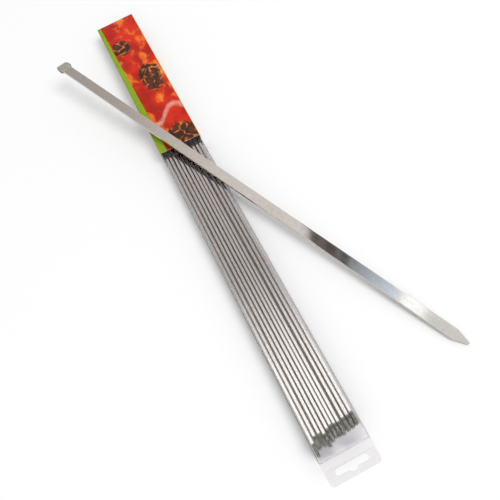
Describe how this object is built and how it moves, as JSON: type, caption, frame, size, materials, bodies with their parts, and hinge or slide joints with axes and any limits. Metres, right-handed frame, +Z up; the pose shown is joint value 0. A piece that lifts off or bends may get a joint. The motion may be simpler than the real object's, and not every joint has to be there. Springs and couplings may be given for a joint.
{
  "type": "kebab skewer set",
  "caption": "Flat steel kebab skewers with flared heads, on edge in a clear folding box with a hang tab and a card sleeve, and one lying across it.",
  "frame": {"origin": "middle of the card sleeve's underside, on the table", "axes": "+Y along the box from the hang tab to the far end, +X across it to the right, +Z up"},
  "size_m": [0.2055, 0.5231, 0.0371],
  "materials": {
    "skewer_steel": "satin flat steel, dull and mottled at the head",
    "clear_sheet": "thin clear sheet with a faint lilac tint",
    "red_print": "printed card, red and orange",
    "green_print": "printed card, green"
  },
  "bodies": {
    "box": {"bottom_panel": "clear_sheet", "top_panel": "clear_sheet", "left_panel": "clear_sheet", "right_panel": "clear_sheet", "glue_flap": "clear_sheet", "near_dust_flap_left": "clear_sheet", "near_dust_flap_right": "clear_sheet", "far_dust_flap_left": "clear_sheet", "far_dust_flap_right": "clear_sheet"},
    "near_closure": {"near_end_panel": "clear_sheet"},
    "near_tuck": {"near_tongue": "clear_sheet"},
    "far_closure": {"far_end_panel": "clear_sheet"},
    "far_tuck": {"far_tongue": "clear_sheet"},
    "tab": {"hang_tab": "clear_sheet"},
    "sleeve": {"card_top": "red_print", "card_left": "green_print", "card_right": "red_print", "card_bottom": "green_print"},
    "skewer_01": {"packed_skewer_01": "skewer_steel"},
    "skewer_02": {"packed_skewer_02": "skewer_steel"},
    "skewer_03": {"packed_skewer_03": "skewer_steel"},
    "skewer_04": {"packed_skewer_04": "skewer_steel"},
    "skewer_05": {"packed_skewer_05": "skewer_steel"},
    "skewer_06": {"packed_skewer_06": "skewer_steel"},
    "skewer_07": {"packed_skewer_07": "skewer_steel"},
    "skewer_08": {"packed_skewer_08": "skewer_steel"},
    "skewer_09": {"packed_skewer_09": "skewer_steel"},
    "skewer_10": {"packed_skewer_10": "skewer_steel"},
    "skewer_11": {"packed_skewer_11": "skewer_steel"},
    "skewer_12": {"loose_skewer": "skewer_steel"}
  },
  "joints": [
    {"name": "near_end_open", "type": "hinge", "parent": "box", "child": "near_closure", "pos_m": [0, -0.40676, 0.00095], "axis": [1, 0, 0], "range_deg": [0, 90]},
    {"name": "near_tongue_fold", "type": "hinge", "parent": "near_closure", "child": "near_tuck", "pos_m": [0, -0.40653, 0.01675], "axis": [1, 0, 0], "range_deg": [-75, 0]},
    {"name": "far_end_open", "type": "hinge", "parent": "box", "child": "far_closure", "pos_m": [0, 0.09776, 0.00095], "axis": [-1, 0, 0], "range_deg": [0, 90]},
    {"name": "far_tongue_fold", "type": "hinge", "parent": "far_closure", "child": "far_tuck", "pos_m": [0, 0.09753, 0.01675], "axis": [-1, 0, 0], "range_deg": [-75, 0]},
    {"name": "hang_tab_fold", "type": "hinge", "parent": "box", "child": "tab", "pos_m": [0, -0.40735, 0.01745], "axis": [1, 0, 0], "range_deg": [-90, 45], "stiffness_Nm_per_rad": 0.004},
    {"name": "sleeve_slide", "type": "slide", "parent": "box", "child": "sleeve", "axis": [0, 1, 0], "range_m": [0, 0.2]},
    {"name": "skewer_01_slide", "type": "slide", "parent": "box", "child": "skewer_01", "axis": [0, 1, 0], "range_m": [-0.0019, 0.02]},
    {"name": "skewer_02_slide", "type": "slide", "parent": "box", "child": "skewer_02", "axis": [0, 1, 0], "range_m": [-0.006, 0.0159]},
    {"name": "skewer_03_slide", "type": "slide", "parent": "box", "child": "skewer_03", "axis": [0, 1, 0], "range_m": [-0.0062, 0.0157]},
    {"name": "skewer_04_slide", "type": "slide", "parent": "box", "child": "skewer_04", "axis": [0, 1, 0], "range_m": [-0.0042, 0.0177]},
    {"name": "skewer_05_slide", "type": "slide", "parent": "box", "child": "skewer_05", "axis": [0, 1, 0], "range_m": [-0.0064, 0.0155]},
    {"name": "skewer_06_slide", "type": "slide", "parent": "box", "child": "skewer_06", "axis": [0, 1, 0], "range_m": [-0.0078, 0.0141]},
    {"name": "skewer_07_slide", "type": "slide", "parent": "box", "child": "skewer_07", "axis": [0, 1, 0], "range_m": [-0.0073, 0.0146]},
    {"name": "skewer_08_slide", "type": "slide", "parent": "box", "child": "skewer_08", "axis": [0, 1, 0], "range_m": [-0.0071, 0.0148]},
    {"name": "skewer_09_slide", "type": "slide", "parent": "box", "child": "skewer_09", "axis": [0, 1, 0], "range_m": [-0.008, 0.0139]},
    {"name": "skewer_10_slide", "type": "slide", "parent": "box", "child": "skewer_10", "axis": [0, 1, 0], "range_m": [-0.0082, 0.0137]},
    {"name": "skewer_11_slide", "type": "slide", "parent": "box", "child": "skewer_11", "axis": [0, 1, 0], "range_m": [-0.0091, 0.0128]},
    {"name": "loose_skewer_lift", "type": "slide", "parent": "box", "child": "skewer_12", "axis": [0, 0, 1], "range_m": [0, 0.12]}
  ],
  "couplings": [
    {"joint": "near_tongue_fold", "follows": "near_end_open", "ratio": -0.8},
    {"joint": "far_tongue_fold", "follows": "far_end_open", "ratio": -0.8}
  ]
}
